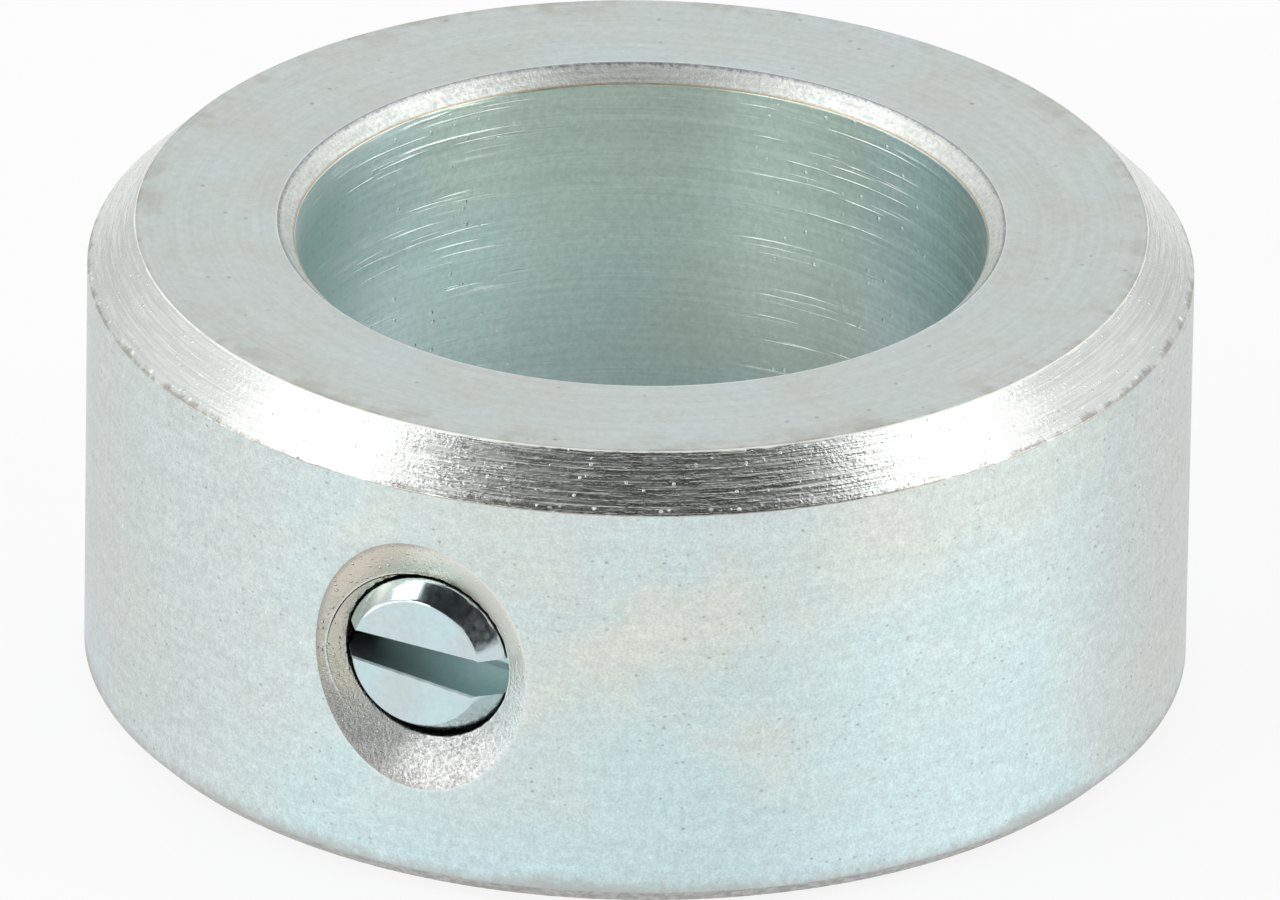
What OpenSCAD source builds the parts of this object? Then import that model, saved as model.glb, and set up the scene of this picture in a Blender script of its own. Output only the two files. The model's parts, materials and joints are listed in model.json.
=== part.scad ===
// Shaft collar: one turned steel ring, held on its shaft by a slotted grub screw.
// The bore runs along +Z, the ring stands on its lower face, and the screw points to -Y.

/* [Ring] */
// Diameter of the bore that takes the shaft
bore_d = 20; // [16:0.5:23]
// Outside diameter of the ring
ring_d = 32; // [28:0.5:40]
// Width of the ring along the shaft
ring_w = 14; // [11:0.5:24]
// Leg of the broad chamfer round the upper outer edge
upper_chamfer = 1.4; // [0.4:0.1:2]
// Leg of the small chamfer round the lower outer edge
lower_chamfer = 0.5; // [0.1:0.1:1.5]
// Leg of the chamfer at each mouth of the bore
bore_chamfer = 0.5; // [0.1:0.1:1]

/* [Tapped hole] */
// Core diameter of the tapped hole through the wall
hole_d = 5.1; // [4.3:0.1:6.5]
// Diameter of the countersink at the outside of the ring
sink_d = 7.8; // [7:0.1:9]
// Full angle of the countersink
sink_angle = 120; // [90:1:140]

/* [Grub screw] */
// Gap all round between the screw and the tapped hole
screw_gap = 0.05; // [0.02:0.01:0.2]
// Depth of the slotted end below the outside of the ring, with the screw backed off
end_depth = 0.1; // [0:0.05:1.2]
// Distance from the wall of the bore to the tip of the screw, with the screw backed off
tip_clear = 0; // [0:0.05:0.8]
// Diameter of the flat slotted end
end_d = 3.9; // [2.5:0.1:4.1]
// Full angle of the chamfer round the slotted end
end_angle = 90; // [60:5:120]
// Full angle of the cone point
point_angle = 120; // [80:5:140]
// Diameter of the flat on the tip of the point
tip_d = 1; // [0.2:0.1:2]
// Width of the screwdriver slot
slot_w = 1.06; // [0.6:0.02:1.4]
// Depth of the screwdriver slot
slot_depth = 1.8; // [0.8:0.1:2.2]
// Turn of the slot away from square to the bore, seen from its own end
slot_turn = -3; // [-90:1:90]

/* [Hidden] */
$fn = 128;

bore_r = bore_d / 2;
ring_r = ring_d / 2;
hole_r = hole_d / 2;
sink_r = sink_d / 2;
screw_r = hole_r - screw_gap;
end_r = end_d / 2;
tip_r = tip_d / 2;

// Distances along the screw's axis, measured outwards from the axis of the bore
sink_floor = ring_r - (sink_r - hole_r) / tan(sink_angle / 2);
tip_at = bore_r + tip_clear;
end_at = ring_r - end_depth;
point_root = tip_at + (screw_r - tip_r) / tan(point_angle / 2);
end_root = end_at - (screw_r - end_r) / tan(end_angle / 2);

// How far a cut runs past the face that it opens
cut_over = 1;

// Turns a shape that stands along +Z so that it points out of the ring, at half its width
module outward() {
    translate([0, 0, ring_w / 2])
        rotate([90, 0, 0])
            children();
}

// Half section of the ring, with its bore and its four edges
module ring_section() {
    polygon([
        [bore_r, bore_chamfer],
        [bore_r + bore_chamfer, 0],
        [ring_r - lower_chamfer, 0],
        [ring_r, lower_chamfer],
        [ring_r, ring_w - upper_chamfer],
        [ring_r - upper_chamfer, ring_w],
        [bore_r + bore_chamfer, ring_w],
        [bore_r, ring_w - bore_chamfer]
    ]);
}

// Cut for the tapped hole at its core diameter, with its countersink
module hole_cut() {
    cylinder(h = ring_r, r = hole_r);
    translate([0, 0, sink_floor])
        cylinder(
            h = ring_r + cut_over - sink_floor,
            r1 = hole_r,
            r2 = sink_r + cut_over * tan(sink_angle / 2)
        );
}

// Half section of the screw: tip, cone point, shank and chamfered end
module screw_section() {
    polygon([
        [0, tip_at],
        [tip_r, tip_at],
        [screw_r, point_root],
        [screw_r, end_root],
        [end_r, end_at],
        [0, end_at]
    ]);
}

// Cut for the screwdriver slot, right across the end
module slot_cut() {
    slot_l = 2 * (screw_r + cut_over);
    translate([0, 0, end_at - slot_depth])
        rotate([0, 0, slot_turn])
            translate([-slot_l / 2, -slot_w / 2, 0])
                cube([slot_l, slot_w, slot_depth + cut_over]);
}

module collar_ring() {
    color("#c3cdcc")
        difference() {
            rotate_extrude() ring_section();
            outward() hole_cut();
        }
}

module grub_screw() {
    color("#b3bfc4")
        outward()
            difference() {
                rotate_extrude() screw_section();
                slot_cut();
            }
}

collar_ring();
grub_screw();
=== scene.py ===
import json
import math

import bpy
import numpy as np
from mathutils import Matrix, Vector


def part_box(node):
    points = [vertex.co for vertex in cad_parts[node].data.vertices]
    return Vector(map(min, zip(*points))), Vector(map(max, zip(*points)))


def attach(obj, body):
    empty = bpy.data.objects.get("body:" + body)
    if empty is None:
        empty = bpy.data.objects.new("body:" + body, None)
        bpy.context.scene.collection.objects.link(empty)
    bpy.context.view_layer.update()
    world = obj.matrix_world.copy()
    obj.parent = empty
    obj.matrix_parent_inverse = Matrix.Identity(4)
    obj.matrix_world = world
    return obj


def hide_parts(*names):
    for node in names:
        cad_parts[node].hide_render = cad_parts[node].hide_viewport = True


# Looks of the shaft collar: a turned, zinc plated ring and the slotted grub screw in its wall.
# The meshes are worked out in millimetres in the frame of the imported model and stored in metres.
# Angles round the ring start at the screw, which points to -Y, and grow towards +X.
# Angles round the screw are seen from outside the ring: 0 is +X and a quarter turn is +Z.

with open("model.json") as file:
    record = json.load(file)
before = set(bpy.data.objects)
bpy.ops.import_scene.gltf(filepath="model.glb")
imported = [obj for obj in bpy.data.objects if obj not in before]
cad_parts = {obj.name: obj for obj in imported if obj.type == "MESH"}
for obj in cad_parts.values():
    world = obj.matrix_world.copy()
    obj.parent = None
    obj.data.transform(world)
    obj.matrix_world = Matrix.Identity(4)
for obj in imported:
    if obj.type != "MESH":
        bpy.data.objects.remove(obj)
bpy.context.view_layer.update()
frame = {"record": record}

MM = 0.001

# Ring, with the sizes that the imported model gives
ring_low, ring_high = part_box("collar_ring")
RING_R = (ring_high.x - ring_low.x) / 2 / MM
RING_W = ring_high.z / MM
BORE_R = next(m["dims"]["r_mm"] for m in frame["record"]["mounts"] if m["name"] == "shaft_bore")
UPPER_CHAMFER = 1.4
LOWER_CHAMFER = 0.5
BORE_CHAMFER = 0.5
EDGE_ROUND = 0.07
EDGE_STEPS = 4
SUPPORT = 0.02
SHARP_DEGREES = 24

# Tool marks on the chamfers: count, depth and seed
BORE_EDGE_GROOVES = (3, 0.004, 3)
CHAMFER_GROOVES = (10, 0.007, 8)

# Tapped hole and its countersink
HOLE_Z = RING_W / 2
HOLE_R = 2.55
SINK_R = 3.9
SINK_HALF_ANGLE = math.radians(120 / 2)
SINK_SLOPE = math.tan(SINK_HALF_ANGLE)
SINK_FLOOR = RING_R - (SINK_R - HOLE_R) / SINK_SLOPE
SINK_EDGE = 0.10

# Grub screw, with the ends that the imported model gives
screw_low, screw_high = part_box("grub_screw")
SCREW_TIP = -screw_high.y / MM
SCREW_END = -screw_low.y / MM
END_R = 1.95
END_SLOPE = 0.78
END_SKEW = 0.22
END_SKEW_TURN = math.radians(45)
END_EDGE = 0.06
SCREW_R = 2.5
NECK_R = 2.46
NECK_DEPTH = 0.95
THREAD_TOP = 1.2
TIP_R = 0.5
POINT_SLOPE = math.tan(math.radians(120 / 2))
SLOT_W = 1.06
SLOT_DEPTH = 2.2
SLOT_TURN = math.radians(-3)
SLOT_LOWER = 0.45
SLOT_TAPER = 0.078
SLOT_FLARE = 0.05
SLOT_EASE = 0.1
# Tone across the slot: darker towards its left end and lighter towards its right (from, to and the tones
# there)
SLOT_TONE_ACROSS = (-2.6, 1.6, 0.66, 1.12)

# How far the slotted end and the neck behind it were turned off the screw's axis, sideways and upwards
END_OFFSET = (-0.10, 0.06)
NECK_OFFSET = (0.04, 0.05)

# Right-handed threads: the screw's keeps within the core of the hole, and the hole's lies outside it
PITCH = 1.0
THREAD_DEPTH = 0.5
THREAD_CREST = PITCH / 16
THREAD_FLANK = math.tan(math.radians(60))
THREAD_START = 0.62
TAP_R = 3.0
TAP_END = SINK_FLOOR - 0.27
TAP_FADE = 0.15

# Fineness of the meshes
RING_COLUMNS = 360
HOLE_COLUMNS = 160
HOLE_ROWS = 120
PATCH_ROWS = 7
MOUTH_ROUNDS = 60
SCREW_COLUMNS = 192
SCREW_ROWS = 170

# Half width and half height of the windows left for the hole in the wall and in the bore
WALL_WINDOW = (4.3, 4.6)
BORE_WINDOW = (3.7, 3.7)
WINDOW_MARGIN = 0.5

# Camera of the photograph
CAMERA_TURN = math.radians(22.95)
CAMERA_RISE = math.radians(26.79)
CAMERA_ROLL = math.radians(0.895)
CAMERA_DISTANCE = 1.0
CAMERA_LENS = 970.7
SENSOR_WIDTH = 36.0
TARGET_SIDE = 0.058 * MM
TARGET_HEIGHT = 6.63 * MM

# Light: the tent's levels, the limits of its panels and of its dark opening, and the softboxes
WORLD_LIGHT = 0.92
WORLD_DARK = 0.03
DARK_HEAD = (0.10, 0.32)
DARK_SIDE = (0.78, 0.58)
DARK_FOOT = (0.42, 0.58)
DARK_SLANT = 2.0
DARK_RIGHT = (1.05, 1.2)
LOW_PANELS = 2.4
LOW_BACK = -0.3
LOW_TOP = (0.40, 0.05)
PANEL_SIDE = (0.60, 0.95)
PANEL_HEAD = (0.5, 0.0)
BACK_HEAD = (0.4, 0.9)
BOX_DISTANCE = 0.45
LEFT_BOX = ((-0.67, -0.08, 0.74), 0.18, 2.6)
RIGHT_BOX = ((0.66, -0.10, 0.745), 0.18, 2.6)
FRONT_BOX = ((-0.585, -0.64, 0.495), 0.14, 4.2)
FLOOR_SIZE = 3.0
FLOOR_GLOW = 0.84
BORE_GLOW = 0.05

BORE, BORE_EDGE, FACE, CHAMFER, WALL, LOWER_EDGE, SINK = range(7)

# Middle of the bore's back: round it the fewest torn marks and painted glints are drawn, and away from it the
# bore is painted paler
GLINTLESS_SIDE = (-3.9, 9.2, 0.0)

# Side of the wall on which the plating is bluest, away from which painted shade makes the wall greyer and
# darker, and the middle of a painted highlight, a pale patch of colour
BLUE_SIDE = (8.0, -13.9, 0.0)
HIGHLIGHT_SIDE = (13.6, -8.5, 0.0)

# Outer radius of the end faces and height of the chamfer's foot
FACE_EDGE = RING_R - UPPER_CHAMFER
CHAMFER_FOOT = RING_W - UPPER_CHAMFER


# Mesh helpers

class Skin:
    """Points and faces of one mesh, with the number of a material for each face."""

    def __init__(self):
        self.points = []
        self.faces = []
        self.slots = []
        self.count = 0

    def add(self, points):
        """Adds an array of points and returns the array of their numbers."""
        flat = np.asarray(points, float).reshape(-1, 3)
        numbers = self.count + np.arange(len(flat))
        self.points.append(flat)
        self.count += len(flat)
        return numbers.reshape(np.shape(points)[:-1])

    def fill(self, faces, slot):
        """Adds faces of one material."""
        self.faces.extend(faces)
        self.slots.extend([slot] * len(faces))

    def quads(self, grid, slots, left_out=None):
        """Fills a grid of point numbers that closes on itself. slots has a material for each row."""
        closed = np.concatenate([grid, grid[:, :1]], axis=1)
        corners = [closed[:-1, :-1], closed[1:, :-1], closed[1:, 1:], closed[:-1, 1:]]
        cells = np.stack(corners, axis=-1)
        for row, slot in enumerate(slots):
            shown = cells[row] if left_out is None else cells[row][~left_out[row]]
            self.fill(shown.tolist(), int(slot))

    def zip(self, inner, inner_turns, outer, outer_turns, slot, flip=False):
        """Fills the strip between two loops of points that run the same way round."""
        inner, inner_turns = close_loop(inner, inner_turns)
        outer, outer_turns = close_loop(outer, outer_turns)
        i, j = 0, 0
        faces = []
        while i < len(inner) - 1 or j < len(outer) - 1:
            inner_next = inner_turns[i + 1] if i < len(inner) - 1 else math.inf
            outer_next = outer_turns[j + 1] if j < len(outer) - 1 else math.inf
            if inner_next <= outer_next:
                face = [inner[i], outer[j], inner[i + 1]]
                i += 1
            else:
                face = [inner[i], outer[j], outer[j + 1]]
                j += 1
            faces.append(face[::-1] if flip else face)
        self.fill(faces, slot)

    def build(self, name, materials):
        """Makes the Blender object, in metres."""
        mesh = bpy.data.meshes.new(name)
        mesh.from_pydata((np.concatenate(self.points) * MM).tolist(), [], self.faces)
        for material in materials:
            mesh.materials.append(material)
        mesh.polygons.foreach_set("material_index", self.slots)
        mesh.update()
        piece = bpy.data.objects.new(name, mesh)
        bpy.context.scene.collection.objects.link(piece)
        return piece


def close_loop(numbers, turns):
    """Sorts a loop of points by angle and repeats its first point a full turn later."""
    turns = np.asarray(turns) % (2 * math.pi)
    order = np.argsort(turns)
    numbers = np.asarray(numbers)[order]
    turns = turns[order]
    return [*numbers.tolist(), int(numbers[0])], [*turns.tolist(), turns[0] + 2 * math.pi]


def smooth(piece, degrees):
    """Shades a mesh smooth, but for the edges sharper than an angle."""
    mesh = piece.data
    mesh.polygons.foreach_set("use_smooth", [True] * len(mesh.polygons))
    mesh.set_sharp_from_angle(angle=math.radians(degrees))


def fillet(before, corner, after):
    """Points of the small arc that rounds a corner of a section."""
    to_before = (before - corner) / np.linalg.norm(before - corner)
    to_after = (after - corner) / np.linalg.norm(after - corner)
    half = math.acos(to_before @ to_after) / 2
    middle = (to_before + to_after) / np.linalg.norm(to_before + to_after)
    centre = corner + middle * EDGE_ROUND / math.sin(half)
    start = corner + to_before * EDGE_ROUND / math.tan(half) - centre
    end = corner + to_after * EDGE_ROUND / math.tan(half) - centre
    sweep = math.pi - 2 * half
    share = np.linspace(0, 1, EDGE_STEPS + 1)[:, None]
    arc = start * np.sin((1 - share) * sweep) + end * np.sin(share * sweep)
    return centre + arc / math.sin(sweep)


def bend(first, corner, last, steps):
    """Eases a corner: values along a quadratic curve from first to last that heads for the corner."""
    share = np.linspace(0, 1, steps + 1)[:, None]
    return (1 - share) ** 2 * first + 2 * share * (1 - share) * corner + share ** 2 * last


# Ring

def turned_grooves(length, count, depth, seed):
    """Gives the places, widths and depths of the grooves that a tool left along a stretch."""
    draw = np.random.default_rng(seed)
    places = (np.arange(count) + draw.uniform(0.2, 0.8, count)) * length / count
    widths = draw.uniform(0.22, 0.5, count) * length / count
    depths = depth * draw.uniform(0.3, 1.0, count)
    return places, widths, depths


def groove_heights(along, grooves):
    """Height of a grooved surface at distances along it."""
    places, widths, depths = grooves
    near = (along[:, None] - places) / widths
    return -(depths * np.exp(-near ** 2)).sum(axis=1)


def ring_section():
    """Closed section of the ring: its points (radius, height) and the material after each point."""
    inner = BORE_R + BORE_CHAMFER
    corners = np.array([
        (BORE_R, BORE_CHAMFER),
        (BORE_R, RING_W - BORE_CHAMFER),
        (inner, RING_W),
        (RING_R - UPPER_CHAMFER, RING_W),
        (RING_R, RING_W - UPPER_CHAMFER),
        (RING_R, LOWER_CHAMFER),
        (RING_R - LOWER_CHAMFER, 0),
        (inner, 0),
    ])
    sides = [
        (BORE, 22, None),
        (BORE_EDGE, 16, turned_grooves(BORE_CHAMFER * math.sqrt(2), *BORE_EDGE_GROOVES)),
        (FACE, 6, None),
        (CHAMFER, 64, turned_grooves(UPPER_CHAMFER * math.sqrt(2), *CHAMFER_GROOVES)),
        (WALL, 26, None),
        (LOWER_EDGE, 6, None),
        (FACE, 6, None),
        (BORE_EDGE, 6, None),
    ]
    points, slots = [], []
    for number, (slot, rows, grooves) in enumerate(sides):
        before, start, end, beyond = corners[np.arange(number - 1, number + 3) % len(corners)]
        first = fillet(before, start, end)[-1]
        arc = fillet(start, end, beyond)
        length = np.linalg.norm(arc[0] - first)
        run = (arc[0] - first) / length
        along = np.concatenate([[0, SUPPORT], np.linspace(0, length, rows + 1)[1:-1], [length - SUPPORT]])
        straight = first + np.outer(along, run)
        if grooves:
            fade = np.sin(np.pi * along / length) ** 0.3
            straight = straight + np.outer(groove_heights(along, grooves) * fade, (-run[1], run[0]))
        points.extend([straight, arc[:-1]])
        slots.extend([slot] * (len(straight) + len(arc) - 1))
    return np.concatenate(points), np.array(slots)


def thread_radius(out, turn, crest_radius):
    """Radius of the thread at a distance from the bore's axis and an angle round the screw."""
    place = out / PITCH - turn / (2 * math.pi) - THREAD_START
    from_crest = np.abs((place + 0.5) % 1 - 0.5) * PITCH
    drop = np.clip((from_crest - THREAD_CREST) * THREAD_FLANK, 0, THREAD_DEPTH)
    return crest_radius - drop


def hole_radius(out, turn):
    """Radius of the tapped hole and its countersink. The thread fades out below the countersink."""
    plain = np.maximum(HOLE_R, HOLE_R + (out - SINK_FLOOR) * SINK_SLOPE)
    depth = np.maximum(thread_radius(out, turn, TAP_R) - plain, 0)
    round_part = turn / (2 * math.pi) + THREAD_START
    crest = (np.round(out / PITCH - round_part) + round_part) * PITCH
    return plain + depth * np.clip((TAP_END - crest) / TAP_FADE, 0, 1)


def on_cylinder(radius, turn, cylinder):
    """Distance from the bore's axis of a point that lies on a cylinder round that axis."""
    return np.sqrt(cylinder ** 2 - (radius * np.cos(turn)) ** 2)


def hole_mouth(turn, cylinder):
    """Distance from the bore's axis at which the hole opens through a cylinder round that axis."""
    out = np.full_like(turn, cylinder)
    for _ in range(MOUTH_ROUNDS):
        out = (out + on_cylinder(hole_radius(out, turn), turn, cylinder)) / 2
    return out


def round_screw(radius, turn, out):
    """Points given by radius and angle round the screw and by distance from the bore's axis."""
    radius, turn, out = np.broadcast_arrays(radius, turn, out)
    return np.stack([radius * np.cos(turn), -out, HOLE_Z + radius * np.sin(turn)], axis=-1)


def patch(mouth_radius, turn, cylinder, window):
    """Rows of radii and distances on a cylinder, from the hole's mouth nearly out to its window."""
    wide, high = np.array(window) - WINDOW_MARGIN
    frame_radius = ((np.cos(turn) / wide) ** 4 + (np.sin(turn) / high) ** 4) ** -0.25
    share = np.linspace(0, 1, PATCH_ROWS + 1)[:, None]
    radius = mouth_radius + (frame_radius - mouth_radius) * share
    radius = np.insert(radius, 1, mouth_radius + SUPPORT, axis=0)
    return radius, on_cylinder(radius, turn, cylinder)


def hole_rows(turn):
    """Radii, distances and materials of the rows of the hole, from round its bore end to round its rim."""
    inner_out = hole_mouth(turn, BORE_R)
    rim_out = hole_mouth(turn, RING_R)
    rim_radius = hole_radius(rim_out, turn)
    edge_out = rim_out - SINK_EDGE * math.cos(SINK_HALF_ANGLE)
    out = inner_out + (edge_out - inner_out) * np.linspace(0, 1, HOLE_ROWS + 1)[:, None]
    radius = hole_radius(out, turn)
    beyond = rim_radius + SINK_EDGE
    edge_radius = bend(radius[-1], rim_radius, beyond, EDGE_STEPS)[1:-1]
    edge_dist = bend(out[-1], rim_out, on_cylinder(beyond, turn, RING_R), EDGE_STEPS)[1:-1]
    bore_radius, bore_out = patch(radius[0], turn, BORE_R, BORE_WINDOW)
    wall_radius, wall_out = patch(beyond, turn, RING_R, WALL_WINDOW)
    radii = np.concatenate([bore_radius[:0:-1], radius, edge_radius, wall_radius])
    outs = np.concatenate([bore_out[:0:-1], out, edge_dist, wall_out])
    bore_count = len(bore_radius) - 1
    hole_count = len(radius) - 1 + EDGE_STEPS // 2
    wall_count = len(radii) - 1 - bore_count - hole_count
    slots = [BORE] * bore_count + [SINK] * hole_count + [WALL] * wall_count
    return radii, outs, slots


def window_cells(section, slots, zone, cylinder, window):
    """Rows and columns of the ring's grid that bound the window for the hole."""
    wide, high = window
    rows = np.flatnonzero((slots == zone) & (np.abs(section[:, 1] - HOLE_Z) < high))
    reach = int(math.asin(wide / cylinder) / (2 * math.pi / RING_COLUMNS))
    return rows, np.arange(-reach, reach + 1) % RING_COLUMNS


def window_loop(skin_points, grid, rows, columns):
    """Numbers and angles of the points on the border of a window in the ring's grid."""
    block = grid[np.ix_(rows, columns)]
    border = np.concatenate([block[0], block[-1], block[1:-1, 0], block[1:-1, -1]])
    place = skin_points[border]
    return border, np.arctan2(place[:, 2] - HOLE_Z, place[:, 0])


def build_ring(materials):
    """The ring as one closed mesh, with the tapped hole let into its wall."""
    skin = Skin()
    section, slots = ring_section()
    angles = np.arange(RING_COLUMNS) * 2 * math.pi / RING_COLUMNS
    radius, height = section[:, :1], section[:, 1:]
    place = np.stack([radius * np.sin(angles), -radius * np.cos(angles), height + 0 * angles], axis=-1)
    grid = skin.add(place)
    left_out = np.zeros(grid.shape, bool)
    windows = []
    for zone, cylinder, window in ((BORE, BORE_R, BORE_WINDOW), (WALL, RING_R, WALL_WINDOW)):
        rows, columns = window_cells(section, slots, zone, cylinder, window)
        left_out[np.ix_(rows[:-1], columns[:-1])] = True
        windows.append(window_loop(place.reshape(-1, 3), grid, rows, columns))
    skin.quads(np.concatenate([grid, grid[:1]]), slots, left_out)

    turn = np.arange(HOLE_COLUMNS) * 2 * math.pi / HOLE_COLUMNS
    radii, outs, hole_slots = hole_rows(turn)
    hole = skin.add(round_screw(radii, turn, outs))
    skin.quads(hole, hole_slots)
    skin.zip(hole[0], turn, *windows[0], BORE, flip=True)
    skin.zip(hole[-1], turn, *windows[1], WALL)
    piece = skin.build("collar_ring_turned", materials)
    smooth(piece, SHARP_DEGREES)
    return piece


# Grub screw

def screw_profile(turn):
    """Radii and distances of the screw's rows, from the flat of its tip to its slotted end."""
    out = np.linspace(SCREW_TIP, SCREW_END - END_EDGE, SCREW_ROWS + 1)[:, None] + 0 * turn
    depth = SCREW_END - out
    aside = END_OFFSET[0] * np.cos(turn) + END_OFFSET[1] * np.sin(turn)
    point = TIP_R + (out - SCREW_TIP) * POINT_SLOPE
    end = END_R + aside + depth * (END_SLOPE + END_SKEW * np.cos(turn - END_SKEW_TURN))
    neck_aside = NECK_OFFSET[0] * np.cos(turn) + NECK_OFFSET[1] * np.sin(turn)
    neck = NECK_R + neck_aside + np.maximum(depth - NECK_DEPTH, 0)
    groove = np.clip(depth - THREAD_TOP, 0, 1) * (SCREW_R - thread_radius(out, turn, SCREW_R))
    radius = np.minimum(np.minimum(SCREW_R - groove, neck), np.minimum(point, end))
    face = np.full_like(turn, SCREW_END)
    edge_radius = bend(radius[-1], END_R + aside, END_R + aside - END_EDGE, EDGE_STEPS)
    edge_out = bend(out[-1], face, face, EDGE_STEPS)
    radii = np.concatenate([radius, edge_radius[1:]])
    outs = np.concatenate([out, edge_out[1:]])
    return radii, outs


def slot_profile(lower):
    """Section of the slot: its mouth is flared and its floor's corners are eased."""
    upper = SLOT_W / 2
    floor = SCREW_END - SLOT_DEPTH
    return np.array([
        (-lower - 2 * SLOT_FLARE, SCREW_END + SLOT_FLARE),
        (-lower, SCREW_END - SLOT_FLARE),
        (-lower, floor + SLOT_EASE),
        (-lower + SLOT_EASE, floor),
        (upper - SLOT_EASE, floor),
        (upper, floor + SLOT_EASE),
        (upper, SCREW_END - SLOT_FLARE),
        (upper + 2 * SLOT_FLARE, SCREW_END + SLOT_FLARE),
    ])


def slot_cutter(material):
    """A bar that cuts the screwdriver slot, a little narrower at its left end."""
    reach = HOLE_R + 1
    skin = Skin()
    ends = []
    for side in (-reach, reach):
        profile = slot_profile(SLOT_LOWER + side * SLOT_TAPER)
        x = END_OFFSET[0] + side * math.cos(SLOT_TURN) - profile[:, 0] * math.sin(SLOT_TURN)
        z = END_OFFSET[1] + side * math.sin(SLOT_TURN) + profile[:, 0] * math.cos(SLOT_TURN)
        ends.append(skin.add(np.stack([x, -profile[:, 1], HOLE_Z + z], axis=-1)))
    skin.quads(np.stack(ends[::-1]), [0])
    skin.fill([ends[0][::-1].tolist(), ends[1].tolist()], 0)
    return skin.build("slot_cutter", [material])


def build_screw(material, slot_material):
    """The threaded screw with its cone point, chamfered end and slot."""
    skin = Skin()
    turn = np.arange(SCREW_COLUMNS) * 2 * math.pi / SCREW_COLUMNS
    radii, outs = screw_profile(turn)
    grid = skin.add(round_screw(radii, turn, outs))
    skin.quads(grid[::-1], [0] * (len(grid) - 1))
    skin.fill([grid[0][::-1].tolist(), grid[-1].tolist()], 0)
    piece = skin.build("grub_screw_threaded", [material])
    cutter = slot_cutter(slot_material)
    cut = piece.modifiers.new("slot", "BOOLEAN")
    cut.object = cutter
    cut.operation = "DIFFERENCE"
    cut.solver = "EXACT"
    cut.material_mode = "TRANSFER"
    settled = piece.evaluated_get(bpy.context.evaluated_depsgraph_get())
    mesh = bpy.data.meshes.new_from_object(settled)
    piece.modifiers.clear()
    piece.data = mesh
    bpy.data.objects.remove(cutter)
    smooth(piece, SHARP_DEGREES)
    return piece


# Materials

class Nodes:
    """Short ways to add nodes to an emptied node tree."""

    def __init__(self, tree):
        self.tree = tree
        self.tree.nodes.clear()

    def add(self, kind, inputs=None, **settings):
        """Adds a node, with its settings and its inputs linked or set."""
        node = self.tree.nodes.new(kind)
        for name, value in settings.items():
            setattr(node, name, value)
        for name, value in (inputs or {}).items():
            if isinstance(value, bpy.types.NodeSocket):
                self.tree.links.new(value, node.inputs[name])
            else:
                node.inputs[name].default_value = value
        return node

    def maths(self, operation, *values):
        """A sum, product or other operation on values."""
        return self.add("ShaderNodeMath", dict(enumerate(values)), operation=operation).outputs[0]

    def span(self, value, low, high, start=0.0, end=1.0):
        """Maps a value from low..high to start..end, with smooth ends."""
        inputs = {"Value": value, "From Min": low, "From Max": high, "To Min": start, "To Max": end}
        return self.add("ShaderNodeMapRange", inputs, interpolation_type="SMOOTHSTEP").outputs[0]

    def dot(self, first, second):
        """The dot product of two vectors."""
        node = self.add("ShaderNodeVectorMath", {0: first, 1: second}, operation="DOT_PRODUCT")
        return node.outputs["Value"]

    def vector(self, x, y, z):
        """A vector from three values."""
        return self.add("ShaderNodeCombineXYZ", {0: x, 1: y, 2: z}).outputs[0]

    def noise(self, vector, scale, detail=2.0, roughness=0.5):
        """Soft noise from about 0 to 1."""
        inputs = {"Vector": vector, "Scale": scale, "Detail": detail, "Roughness": roughness}
        return self.add("ShaderNodeTexNoise", inputs).outputs[0]

    def mix(self, share, first, second, blend="MIX"):
        """A mix of two colours."""
        inputs = {0: share, 6: first, 7: second}
        return self.add("ShaderNodeMix", inputs, data_type="RGBA", blend_type=blend).outputs[2]

    def tone(self, colour, value):
        """A colour made lighter or darker by a factor."""
        grey = self.vector(value, value, value)
        return self.mix(1.0, colour, grey, "MULTIPLY")


class Shader(Nodes):
    """The nodes of a new material, with the place on the object in millimetres."""

    def __init__(self, name):
        self.material = bpy.data.materials.new(name)
        self.material.use_nodes = True
        super().__init__(self.material.node_tree)
        place = self.add("ShaderNodeTexCoord").outputs["Object"]
        scaled = self.add("ShaderNodeVectorMath", {0: place, "Scale": 1 / MM}, operation="SCALE")
        self.place = scaled.outputs[0]
        parts = self.add("ShaderNodeSeparateXYZ", {0: self.place}).outputs
        self.x, self.y, self.z = parts[0], parts[1], parts[2]


def colour(red, green, blue):
    """A colour as a shader socket takes it."""
    return (red, green, blue, 1.0)


def radius_of(shader):
    """Distance from the bore's axis."""
    square = shader.maths("MULTIPLY", shader.x, shader.x)
    square = shader.maths("MULTIPLY_ADD", shader.y, shader.y, square)
    return shader.maths("SQRT", square)


def flat_distance(shader, place):
    """Distance from a place, seen along the bore's axis."""
    flat = shader.vector(shader.x, shader.y, 0.0)
    return shader.add("ShaderNodeVectorMath", {0: flat, 1: place}, operation="DISTANCE").outputs["Value"]


def streaks(shader, across, along_scale, across_scale, detail=3.0):
    """Noise drawn out round the ring: fine along a section and long round the bore's axis."""
    vector = shader.vector(
        shader.maths("MULTIPLY", shader.x, along_scale),
        shader.maths("MULTIPLY", shader.y, along_scale),
        shader.maths("MULTIPLY", across, across_scale),
    )
    return shader.noise(vector, 1.0, detail, 0.6)


def pits(shader, vector, scale, size, share):
    """1 in the middle of scattered small pits and 0 round them."""
    cells = shader.add("ShaderNodeTexVoronoi", {"Vector": vector, "Scale": scale}, feature="F1")
    chance = shader.add("ShaderNodeSeparateColor", {0: cells.outputs["Color"]}).outputs
    near = shader.span(cells.outputs["Distance"], size * 0.4, size, 1.0, 0.0)
    depth = shader.span(chance[1], 0.0, 1.0, 0.3, 1.0)
    chosen = shader.maths("LESS_THAN", chance[0], share)
    return shader.maths("MULTIPLY", shader.maths("MULTIPLY", near, depth), chosen)


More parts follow.
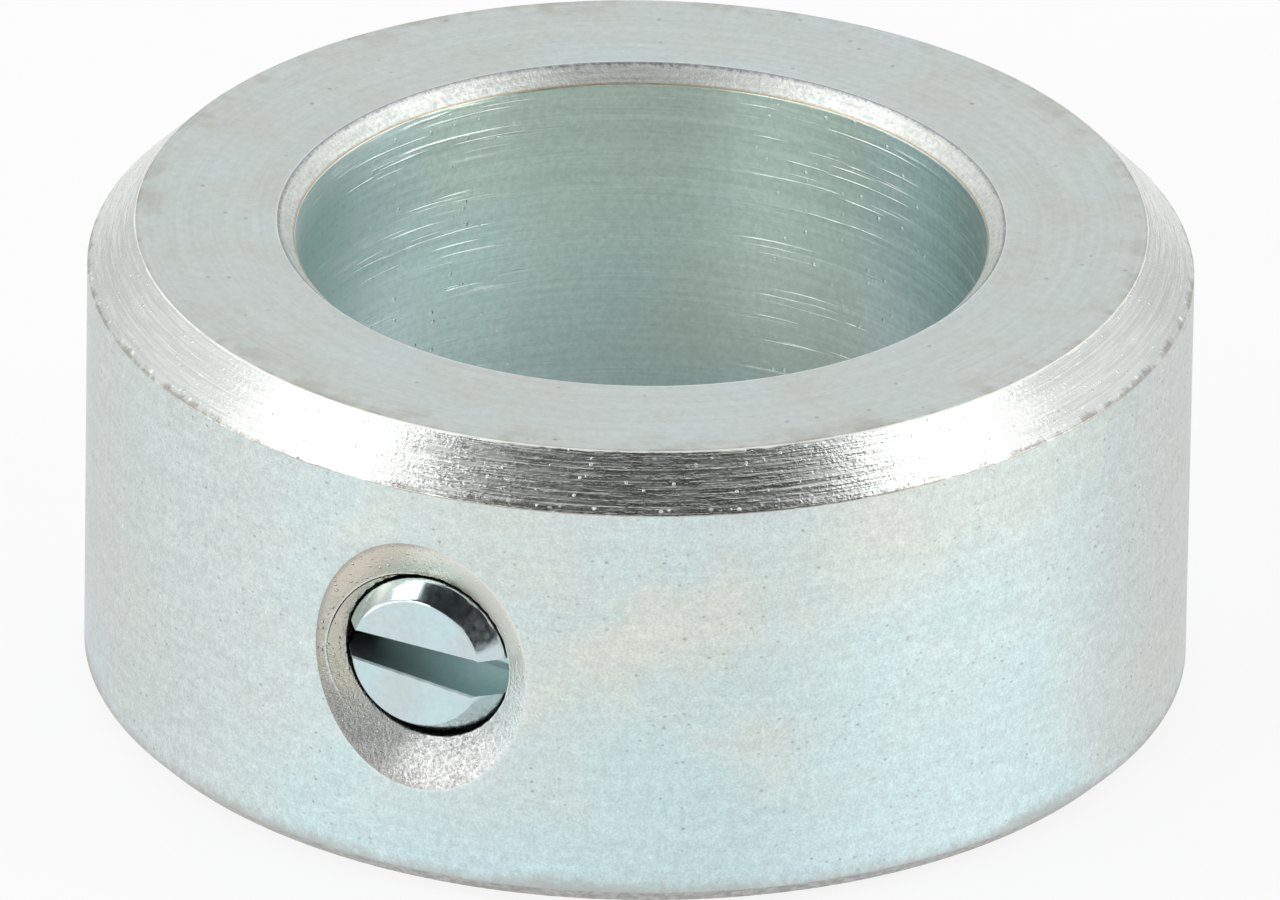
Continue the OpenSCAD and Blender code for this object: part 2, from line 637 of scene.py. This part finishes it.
def weigh(shader, *parts):
    """The sum of values, each given with its weight."""
    total = 0.0
    for value, weight in parts:
        total = shader.maths("MULTIPLY_ADD", value, weight, total)
    return total


def finish_metal(shader, base, roughness, height, distance, **more):
    """Ends a metal material: its colour, its roughness and its fine relief."""
    relief = shader.add("ShaderNodeBump", {"Strength": 1.0, "Distance": distance * MM, "Height": height})
    metal = shader.add("ShaderNodeBsdfPrincipled", {
        "Base Color": base,
        "Metallic": 1.0,
        "Roughness": roughness,
        "Normal": relief.outputs[0],
        **more,
    })
    shader.add("ShaderNodeOutputMaterial", {"Surface": metal.outputs[0]})
    return shader.material


def zinc_tint(shader, round_scale, height_scale, cool, plain, warm):
    """Plating whose colour drifts between three tints."""
    vector = shader.vector(
        shader.maths("MULTIPLY", shader.x, round_scale),
        shader.maths("MULTIPLY", shader.y, round_scale),
        shader.maths("MULTIPLY", shader.z, height_scale),
    )
    apart = shader.add("ShaderNodeVectorMath", {0: vector, 1: (17.0, 31.0, 5.0)}).outputs[0]
    drift = shader.noise(vector, 1.0, 3.0, 0.55)
    patches = shader.noise(apart, 1.3, 3.0, 0.55)
    tint = shader.mix(shader.span(drift, 0.36, 0.62), colour(*cool), colour(*plain))
    return shader.mix(shader.span(patches, 0.44, 0.78), tint, colour(*warm))


def wall_tint(shader, drift):
    """Colours of the wall: bluer at the foot of one side, with a painted highlight in one pale patch and
    painted shade that makes it greyer and darker behind.
    """
    base = zinc_tint(shader, 0.20, 0.24, (0.62, 0.745, 0.74), (0.65, 0.725, 0.705), (0.71, 0.74, 0.685))
    away = shader.span(flat_distance(shader, BLUE_SIDE), 9.0, 16.0)
    foot = shader.span(weigh(shader, (shader.z, 1.0), (drift, 6.0), (away, 4.0)), 3.5, 10.0, 0.85, 0.0)
    # Painted highlight: a pale patch of colour stands in for light on one side of the wall.
    near = shader.span(flat_distance(shader, HIGHLIGHT_SIDE), 1.5, 7.0, 0.6, 0.0)
    highlight_blue = colour(0.70, 0.86, 0.875)
    highlight_warm = colour(0.77, 0.82, 0.765)
    pale = shader.mix(shader.span(shader.z, 8.0, 11.5), highlight_blue, highlight_warm)
    # Painted shade: the wall turns greyer and darker towards its sides and back.
    base = shader.mix(shader.maths("MULTIPLY", away, 0.8), base, colour(0.615, 0.672, 0.655))
    base = shader.mix(foot, base, colour(0.59, 0.755, 0.785))
    return shader.mix(near, base, pale)


def wall_zinc():
    """Drawn outside of the ring: satin and pitted, and darker in a ragged band at its foot."""
    shader = Shader("zinc_wall")
    drift = shader.noise(shader.place, 0.22, 2.0, 0.5)
    base = wall_tint(shader, drift)
    lines = streaks(shader, shader.z, 0.25, 4.0)
    grain = shader.noise(shader.place, 3.5, 4.0, 0.7)
    flat = shader.vector(shader.x, shader.y, shader.maths("MULTIPLY", shader.z, 1.4))
    clusters = shader.span(shader.noise(shader.place, 0.55, 2.0, 0.5), 0.38, 0.62, 0.15, 1.0)
    holes = shader.maths("MULTIPLY", pits(shader, flat, 3.2, 0.27, 0.6), clusters)
    bright = pits(shader, shader.place, 1.5, 0.10, 0.3)
    speckle = shader.noise(shader.place, 13.0, 2.0, 0.6)
    base = shader.tone(base, shader.span(lines, 0.25, 0.75, 0.97, 1.03))
    base = shader.tone(base, shader.span(grain, 0.3, 0.7, 0.92, 1.06))
    base = shader.tone(base, shader.span(speckle, 0.3, 0.7, 0.92, 1.08))
    base = shader.tone(base, shader.span(holes, 0.0, 1.0, 1.0, 0.68))
    base = shader.mix(shader.maths("MULTIPLY", bright, 0.7), base, colour(0.93, 0.94, 0.94))
    # Darker in a ragged band at the foot of the wall.
    ragged = weigh(shader, (shader.z, 1.0), (grain, 0.5), (drift, 0.9))
    base = shader.mix(shader.span(ragged, 1.1, 1.75, 0.8, 0.0), base, colour(0.46, 0.46, 0.435))
    roughness = shader.span(grain, 0.3, 0.7, 0.42, 0.52)
    height = weigh(shader, (grain, 1.0), (lines, 0.4), (holes, -0.8))
    edge = {"Specular Tint": colour(0.86, 0.78, 0.79)}
    return finish_metal(shader, base, roughness, height, 0.006, **edge)


def face_zinc():
    """Turned end faces: satin, with faint facing marks, smudged and ragged towards the chamfer."""
    shader = Shader("zinc_face")
    base = zinc_tint(shader, 0.25, 0.25, (0.61, 0.68, 0.665), (0.61, 0.655, 0.635), (0.59, 0.62, 0.585))
    radius = radius_of(shader)
    lines = streaks(shader, radius, 0.15, 6.0)
    grain = shader.noise(shader.place, 3.5, 4.0, 0.7)
    holes = pits(shader, shader.place, 1.6, 0.16, 0.35)
    smudges = shader.span(shader.noise(shader.place, 0.9, 3.0, 0.6), 0.45, 0.68)
    smudged = weigh(shader, (radius, 1.0), (grain, 0.5))
    outer = shader.span(smudged, FACE_EDGE - 1.2, FACE_EDGE + 0.3, 0.0, 0.6)
    inner = shader.span(radius, BORE_R + BORE_CHAMFER + 0.02, BORE_R + BORE_CHAMFER + 0.09, 1.25, 1.0)
    base = shader.mix(shader.maths("MULTIPLY", outer, smudges), base, colour(0.47, 0.45, 0.40))
    ragged = weigh(shader, (radius, 1.0), (grain, 0.25))
    rim = shader.span(ragged, FACE_EDGE + 0.02, FACE_EDGE + 0.14, 0.0, 0.75)
    patchy = shader.span(smudges, 0.0, 1.0, 0.3, 1.0)
    base = shader.mix(shader.maths("MULTIPLY", rim, patchy), base, colour(0.42, 0.40, 0.36))
    base = shader.tone(base, inner)
    base = shader.tone(base, shader.span(lines, 0.25, 0.75, 0.96, 1.04))
    base = shader.tone(base, shader.span(grain, 0.3, 0.7, 0.93, 1.06))
    base = shader.tone(base, shader.span(holes, 0.0, 1.0, 1.0, 0.7))
    roughness = shader.span(grain, 0.3, 0.7, 0.36, 0.46)
    height = weigh(shader, (grain, 1.0), (lines, 0.8), (holes, -0.8))
    return finish_metal(shader, base, roughness, height, 0.005)


def chamfer_zinc():
    """Broad turned chamfer: bright, with tool marks and specks, a worn foot dotted with painted glints, and a
    painted highlight along its top edge.
    """
    shader = Shader("zinc_chamfer")
    across = shader.maths("SUBTRACT", shader.z, radius_of(shader))
    marks = streaks(shader, across, 0.9, 5.0)
    lines = streaks(shader, across, 0.12, 12.0, 2.0)
    grain = shader.noise(shader.place, 9.0, 2.0, 0.6)
    specks = pits(shader, shader.place, 5.5, 0.28, 0.22)
    above = shader.maths("SUBTRACT", shader.z, CHAMFER_FOOT)
    wear = shader.noise(shader.place, 1.6, 3.0, 0.6)
    worn = shader.span(weigh(shader, (above, 1.0), (wear, 0.55), (grain, 0.1)), 0.30, 0.46, 0.85, 0.0)
    border = weigh(shader, (above, 1.0), (wear, 0.12))
    # Painted highlight: a pale line of colour along the chamfer's top edge.
    top_highlight = shader.span(border, UPPER_CHAMFER - 0.02, UPPER_CHAMFER + 0.03, 0.0, 0.8)
    band = shader.maths(
        "MULTIPLY",
        shader.span(above, 0.04, 0.08),
        shader.span(above, 0.13, 0.18, 1.0, 0.0),
    )
    # Painted glints: white dots along the chamfer's foot.
    glint_dots = shader.maths("MULTIPLY", pits(shader, shader.place, 4.0, 0.42, 0.55), band)
    base = shader.mix(shader.span(marks, 0.3, 0.7), colour(0.66, 0.69, 0.665), colour(0.77, 0.80, 0.77))
    base = shader.tone(base, shader.span(lines, 0.3, 0.7, 0.91, 1.05))
    base = shader.mix(glint_dots, base, colour(0.95, 0.95, 0.95))
    base = shader.mix(worn, base, colour(0.38, 0.37, 0.34))
    base = shader.mix(top_highlight, base, colour(0.93, 0.93, 0.89))
    roughness = shader.span(marks, 0.3, 0.7, 0.30, 0.20)
    roughness = shader.span(shader.maths("MAXIMUM", glint_dots, top_highlight), 0.0, 1.0, roughness, 0.8)
    height = weigh(shader, (marks, 0.9), (lines, 0.5), (grain, 0.45), (specks, 0.7))
    return finish_metal(shader, base, roughness, height, 0.022)


def bore_tint(shader, apart):
    """Colours of the bore: greener at its head and bluer at its foot, with a painted pale sheen towards its
    sides, away from the middle of its back.
    """
    drift = shader.noise(shader.place, 0.12, 2.0, 0.5)
    blue = colour(0.54, 0.695, 0.655)
    green = colour(0.585, 0.685, 0.605)
    base = shader.mix(shader.span(drift, 0.35, 0.65), blue, green)
    base = shader.mix(shader.span(shader.z, 8.0, 13.0, 0.0, 0.7), base, colour(0.60, 0.68, 0.585))
    base = shader.mix(shader.span(shader.z, 7.0, 2.5, 0.0, 0.7), base, colour(0.53, 0.70, 0.69))
    # Painted sheen: paler and bluer towards the sides of the bore.
    return shader.mix(shader.span(apart, 5.5, 9.5, 0.0, 0.8), base, colour(0.77, 0.90, 0.93))


def torn_marks(shader, climb, apart):
    """Dashes and specks torn into the bore: 1 where they are. They are fewest round the middle of the bore's
    back and fewer again far from it, so that the glints painted on them gather in two zones.
    """
    rows = shader.span(streaks(shader, climb, 0.06, 3.0, 2.0), 0.48, 0.60)
    dashes = shader.span(streaks(shader, climb, 0.3, 9.0, 1.0), 0.54, 0.70)
    # Where the torn marks and the glints painted on them go.
    worn = shader.maths(
        "MULTIPLY",
        shader.span(apart, 2.0, 5.5, 0.06, 1.0),
        shader.span(apart, 7.5, 10.0, 1.0, 0.35),
    )
    torn = shader.maths("MULTIPLY", shader.maths("MULTIPLY", rows, dashes), worn)
    specks = shader.maths("MULTIPLY", pits(shader, shader.place, 3.2, 0.26, 0.3), worn)
    return torn, specks


def bore_zinc():
    """Bored inside of the ring: fine turning lines, and torn ones whose short dashes catch the light and
    carry painted glints, with painted shade low down and towards its right.
    """
    shader = Shader("zinc_bore")
    climb = weigh(shader, (shader.z, 1.0), (shader.x, 0.012))
    lines = streaks(shader, climb, 0.05, 5.0)
    fine = streaks(shader, climb, 0.25, 14.0, 1.0)
    grain = shader.noise(shader.place, 5.0, 3.0, 0.7)
    apart = flat_distance(shader, GLINTLESS_SIDE)
    torn, specks = torn_marks(shader, climb, apart)
    base = bore_tint(shader, apart)
    base = shader.tone(base, shader.span(lines, 0.3, 0.7, 0.96, 1.04))
    base = shader.tone(base, shader.span(fine, 0.3, 0.7, 0.96, 1.04))
    base = shader.tone(base, shader.span(grain, 0.3, 0.7, 0.92, 1.06))
    # Painted shade and light: darker low in the bore, lighter towards its left and darker towards its right.
    base = shader.tone(base, shader.span(shader.z, 3.0, 9.5, 0.74, 1.02))
    base = shader.tone(base, shader.span(shader.x, -9.0, 7.0, 1.17, 0.82))
    roughness = shader.span(lines, 0.3, 0.7, 0.34, 0.42)
    # Painted glints: the torn dashes and specks are painted pale.
    painted_glints = shader.maths(
        "MAXIMUM",
        shader.maths("MULTIPLY", torn, 0.6),
        shader.maths("MULTIPLY", specks, 0.8),
    )
    base = shader.mix(painted_glints, base, colour(0.90, 0.94, 0.92))
    roughness = shader.span(torn, 0.0, 1.0, roughness, 0.30)
    height = weigh(shader, (lines, 0.09), (fine, 0.05), (torn, 1.0), (specks, 0.6))
    turned = {
        "Anisotropic": 0.7,
        "Anisotropic Rotation": 0.25,
        "Tangent": shader.add("ShaderNodeTangent", direction_type="RADIAL", axis="Z").outputs[0],
    }
    return finish_metal(shader, base, roughness, height, 0.04, **turned)


def bore_edge_zinc():
    """Chamfers at the mouths of the bore: bright, with a rough outer border and a warm inner one."""
    shader = Shader("zinc_bore_edge")
    across = shader.maths("ADD", shader.z, radius_of(shader))
    marks = streaks(shader, across, 0.8, 6.0)
    grain = shader.noise(shader.place, 7.0, 3.0, 0.7)
    inside = shader.maths("SUBTRACT", radius_of(shader), BORE_R)
    ragged = weigh(shader, (inside, 1.0), (grain, 0.35))
    border = shader.span(ragged, BORE_CHAMFER + 0.08, BORE_CHAMFER + 0.18)
    dull = colour(0.655, 0.685, 0.655)
    bright = colour(0.785, 0.815, 0.785)
    base = shader.mix(shader.span(marks, 0.3, 0.7), dull, bright)
    base = shader.tone(base, shader.span(grain, 0.3, 0.7, 0.86, 1.08))
    base = shader.mix(border, base, colour(0.36, 0.37, 0.39))
    base = shader.mix(shader.span(inside, 0.03, 0.09, 0.9, 0.0), base, colour(0.50, 0.39, 0.24))
    roughness = shader.span(grain, 0.3, 0.7, 0.54, 0.42)
    height = weigh(shader, (marks, 0.6), (grain, 0.8))
    return finish_metal(shader, base, roughness, height, 0.018)


def spiral_mark(shader, up):
    """The spiral that the tap left round the countersink: its raised line, painted pale as a glint, and the
    scraped metal inside it.
    """
    square = shader.maths("MULTIPLY_ADD", up, up, shader.maths("MULTIPLY", shader.x, shader.x))
    turn = shader.maths("ARCTAN2", shader.maths("MULTIPLY", shader.x, -1.0), up)
    spiral = shader.add("ShaderNodeMapRange", {
        "Value": turn,
        "From Min": 0.1,
        "From Max": 1.65,
        "To Min": HOLE_R,
        "To Max": TAP_R + 0.06,
    }).outputs[0]
    beyond = shader.maths("SUBTRACT", shader.maths("SQRT", square), spiral)
    fading = shader.span(turn, 1.9, 2.5, 1.0, 0.0)
    line = shader.span(shader.maths("ABSOLUTE", beyond), 0.0, 0.05, 1.0, 0.0)
    burr_glint = shader.maths("MULTIPLY", line, fading)
    scraped = shader.maths("MULTIPLY", shader.span(beyond, -0.05, 0.0, 0.6, 0.0), fading)
    return burr_glint, scraped


def sink_tint(shader, up, right, grain, blotch):
    """Colours of the countersink: lighter and warm above, as painted light, darker below, as painted shade,
    with a painted sparkling highlight at its foot and lower right, and like the wall on its right.
    """
    base = shader.mix(shader.span(grain, 0.3, 0.7), colour(0.45, 0.45, 0.40), colour(0.60, 0.595, 0.54))
    # Painted shade: darker towards the foot of the countersink.
    base = shader.mix(shader.span(up, -0.4, -2.6), base, colour(0.36, 0.365, 0.355))
    # Painted highlight: pale sparkling colour at the foot and lower right.
    bright = shader.span(weigh(shader, (shader.x, 1.0), (up, -1.0), (blotch, 0.8)), 2.2, 3.4, 0.0, 0.85)
    dull_speck = colour(0.48, 0.48, 0.475)
    bright_speck = colour(0.86, 0.86, 0.855)
    painted_sparkle = shader.mix(shader.span(grain, 0.38, 0.62), dull_speck, bright_speck)
    base = shader.mix(bright, base, painted_sparkle)
    base = shader.tone(base, shader.span(blotch, 0.3, 0.7, 0.92, 1.08))
    # Painted light: lighter towards the top, with a warm tint.
    base = shader.mix(shader.span(up, 0.8, 2.6, 0.0, 0.9), base, colour(0.69, 0.62, 0.53))
    merged = shader.mix(shader.span(up, -1.0, 1.5), colour(0.66, 0.745, 0.725), colour(0.84, 0.83, 0.76))
    return shader.mix(right, base, merged)


def sink_zinc():
    """Drilled countersink and tapped hole: thinly plated and coarse, with painted shade deep in the hole."""
    shader = Shader("zinc_countersink")
    up = shader.maths("SUBTRACT", shader.z, HOLE_Z)
    right = shader.span(weigh(shader, (shader.x, 1.0), (up, 0.25)), 0.6, 2.8, 0.0, 0.9)
    grain = shader.noise(shader.place, 8.5, 3.0, 0.7)
    blotch = shader.noise(shader.place, 1.5, 2.0, 0.5)
    specks = pits(shader, shader.place, 7.0, 0.36, 0.3)
    burr_glint, scraped = spiral_mark(shader, up)
    base = sink_tint(shader, up, right, grain, blotch)
    ragged = weigh(shader, (radius_of(shader), 1.0), (grain, 0.12), (blotch, 0.08))
    border = shader.span(ragged, RING_R - 0.03, RING_R + 0.10, 0.0, 0.75)
    border = shader.maths("MULTIPLY", border, shader.span(shader.x, 1.0, -0.6))
    base = shader.mix(border, base, colour(0.36, 0.345, 0.315))
    base = shader.mix(shader.maths("MULTIPLY", specks, 0.7), base, colour(0.84, 0.84, 0.82))
    base = shader.mix(scraped, base, colour(0.57, 0.55, 0.45))
    # Painted glint: the spiral's raised line is painted pale.
    base = shader.mix(shader.maths("MULTIPLY", burr_glint, 0.6), base, colour(0.86, 0.85, 0.78))
    # Painted shade: the tapped hole darkens deeper in.
    deep = shader.span(shader.y, -SINK_FLOOR, 0.3 - SINK_FLOOR)
    base = shader.tone(base, shader.span(deep, 0.0, 1.0, 1.0, 0.12))
    roughness = shader.span(right, 0.0, 0.9, shader.span(grain, 0.3, 0.7, 0.20, 0.30), 0.45)
    coarse = shader.maths("MULTIPLY", grain, shader.span(up, 0.8, -1.2, 0.25, 1.0))
    height = weigh(shader, (coarse, 1.4), (specks, 0.8), (burr_glint, 0.5))
    height = shader.maths("MULTIPLY", height, shader.span(deep, 0.0, 1.0, 1.0, 0.1))
    return finish_metal(shader, base, roughness, height, 0.05)


def lower_edge_zinc():
    """Small chamfer at the foot of the ring, in a darker warm grey."""
    shader = Shader("zinc_lower_edge")
    grain = shader.noise(shader.place, 4.0, 3.0, 0.6)
    base = shader.mix(shader.span(grain, 0.35, 0.65), colour(0.28, 0.28, 0.265), colour(0.50, 0.51, 0.49))
    roughness = shader.span(grain, 0.3, 0.7, 0.35, 0.5)
    return finish_metal(shader, base, roughness, grain, 0.010)


def screw_zinc(name, first, second, polish, tone_across=None):
    """Plating of the screw, with its lowest roughness and, where a tone across is given, its tone across the
    width.
    """
    shader = Shader(name)
    drift = shader.noise(shader.place, 0.5, 2.0, 0.5)
    grain = shader.noise(shader.place, 5.0, 3.0, 0.6)
    base = shader.mix(shader.span(drift, 0.35, 0.65), colour(*first), colour(*second))
    base = shader.tone(base, shader.span(grain, 0.3, 0.7, 0.96, 1.03))
    # Darker towards one end of the width and lighter towards the other.
    if tone_across:
        base = shader.tone(base, shader.span(shader.x, *tone_across))
    roughness = shader.span(grain, 0.3, 0.7, polish, polish + 0.08)
    return finish_metal(shader, base, roughness, grain, 0.002)


# Stage

def along_camera(side, forward, up):
    """A direction given to the camera's right, away from the camera and upwards."""
    right = Vector((math.cos(CAMERA_TURN), math.sin(CAMERA_TURN), 0))
    ahead = Vector((-math.sin(CAMERA_TURN), math.cos(CAMERA_TURN), 0))
    return (right * side + ahead * forward + Vector((0, 0, up))).normalized()


def place_camera():
    """The photograph's camera."""
    data = bpy.data.cameras.new("camera")
    data.sensor_fit = "HORIZONTAL"
    data.sensor_width = SENSOR_WIDTH
    data.lens = CAMERA_LENS
    data.clip_start = 0.01
    data.clip_end = 10.0
    camera = bpy.data.objects.new("camera", data)
    back = along_camera(0, -math.cos(CAMERA_RISE), math.sin(CAMERA_RISE))
    right = along_camera(1, 0, 0)
    above = back.cross(right)
    turned_right = right * math.cos(CAMERA_ROLL) + above * math.sin(CAMERA_ROLL)
    turned_up = above * math.cos(CAMERA_ROLL) - right * math.sin(CAMERA_ROLL)
    target = right * TARGET_SIDE + Vector((0, 0, TARGET_HEIGHT))
    axes = Matrix((turned_right, turned_up, back)).transposed().to_4x4()
    camera.matrix_world = Matrix.Translation(target + back * CAMERA_DISTANCE) @ axes
    bpy.context.scene.collection.objects.link(camera)
    bpy.context.scene.camera = camera


def dark_opening(shader, right, sideways, ahead, upwards):
    """1 in the dark opening that the photographer stands in, which is lowest on its right, and 0 round it."""
    towards = shader.maths("MULTIPLY", ahead, -1.0)
    opening = shader.maths("MULTIPLY", shader.span(towards, *DARK_HEAD), shader.span(sideways, *DARK_SIDE))
    slanted = weigh(shader, (upwards, 1.0), (right, DARK_SLANT))
    kept = shader.maths("MAXIMUM", shader.span(upwards, *DARK_FOOT), shader.span(slanted, *DARK_RIGHT))
    return shader.maths("MULTIPLY", opening, kept)


def light_world():
    """A bright tent round the object, with low side panels and a dark opening at the front."""
    world = bpy.data.worlds.new("tent")
    world.use_nodes = True
    bpy.context.scene.world = world
    shader = Nodes(world.node_tree)
    way = shader.add("ShaderNodeTexCoord").outputs["Generated"]
    right = shader.dot(way, along_camera(1, 0, 0))
    sideways = shader.maths("ABSOLUTE", right)
    ahead = shader.dot(way, along_camera(0, 1, 0))
    upwards = shader.dot(way, along_camera(0, 0, 1))
    low = shader.span(upwards, *LOW_TOP)
    panels = shader.maths("MULTIPLY", low, shader.span(sideways, *PANEL_SIDE))
    panels = shader.maths("MULTIPLY", panels, shader.span(ahead, *PANEL_HEAD))
    back = shader.maths("MULTIPLY", low, shader.span(ahead, *BACK_HEAD))
    tent = shader.maths("ADD", weigh(shader, (panels, LOW_PANELS), (back, LOW_BACK)), WORLD_LIGHT)
    opening = dark_opening(shader, right, sideways, ahead, upwards)
    strength = shader.span(opening, 0.0, 1.0, tent, WORLD_DARK)
    seen = shader.add("ShaderNodeLightPath").outputs["Is Camera Ray"]
    glow = shader.add("ShaderNodeBackground", {
        "Color": colour(1, 1, 1),
        "Strength": shader.maths("MAXIMUM", seen, strength),
    })
    shader.add("ShaderNodeOutputWorld", {"Surface": glow.outputs[0]})


def light_box(direction, size, radiance):
    """A square softbox that lights the object from a direction given from the camera's side."""
    data = bpy.data.lights.new("softbox", "AREA")
    data.shape = "SQUARE"
    data.size = size
    data.energy = radiance * math.pi * size ** 2
    box = bpy.data.objects.new("softbox", data)
    back = along_camera(*direction)
    box.location = back * BOX_DISTANCE + Vector((0, 0, HOLE_Z * MM))
    box.rotation_mode = "QUATERNION"
    box.rotation_quaternion = back.to_track_quat("Z", "Y")
    box.visible_camera = False
    bpy.context.scene.collection.objects.link(box)


def lay_floor():
    """A wide pale floor that shows the object's soft shadow."""
    shader = Shader("pale_floor")
    path = shader.add("ShaderNodeLightPath").outputs
    seen = shader.maths("MAXIMUM", path["Is Camera Ray"], path["Is Glossy Ray"])
    seen = shader.maths("MAXIMUM", seen, path["Is Transmission Ray"])
    level = shader.span(radius_of(shader), 0.0, BORE_R, BORE_GLOW, FLOOR_GLOW)
    share = shader.maths("MULTIPLY", seen, level)
    speckle = shader.noise(shader.place, 0.8, 3.0, 0.6)
    paint = shader.mix(speckle, colour(0.88, 0.88, 0.88), colour(0.90, 0.90, 0.90))
    matt = shader.add("ShaderNodeBsdfDiffuse", {"Color": paint}).outputs[0]
    glow = shader.add("ShaderNodeEmission", {"Strength": 1.0}).outputs[0]
    surface = shader.add("ShaderNodeMixShader", {0: share, 1: matt, 2: glow}).outputs[0]
    shader.add("ShaderNodeOutputMaterial", {"Surface": surface})
    shader.material.cycles.emission_sampling = "NONE"
    skin = Skin()
    half = FLOOR_SIZE / MM
    corners = skin.add([(-half, -half, 0), (half, -half, 0), (half, half, 0), (-half, half, 0)])
    skin.fill([corners.tolist()], 0)
    skin.build("floor", [shader.material])


def make_pieces():
    """Both pieces of the collar, each on its body."""
    ring = build_ring([
        bore_zinc(),
        bore_edge_zinc(),
        face_zinc(),
        chamfer_zinc(),
        wall_zinc(),
        lower_edge_zinc(),
        sink_zinc(),
    ])
    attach(ring, "ring")
    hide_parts("collar_ring")
    screw = build_screw(
        screw_zinc("zinc_screw", (0.575, 0.735, 0.76), (0.59, 0.675, 0.69), 0.12),
        screw_zinc("zinc_slot", (0.55, 0.68, 0.685), (0.61, 0.72, 0.715), 0.34, SLOT_TONE_ACROSS),
    )
    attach(screw, "screw")
    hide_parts("grub_screw")


bpy.context.scene.view_settings.view_transform = "Standard"
place_camera()
light_world()
light_box(*LEFT_BOX)
light_box(*RIGHT_BOX)
light_box(*FRONT_BOX)
lay_floor()
make_pieces()
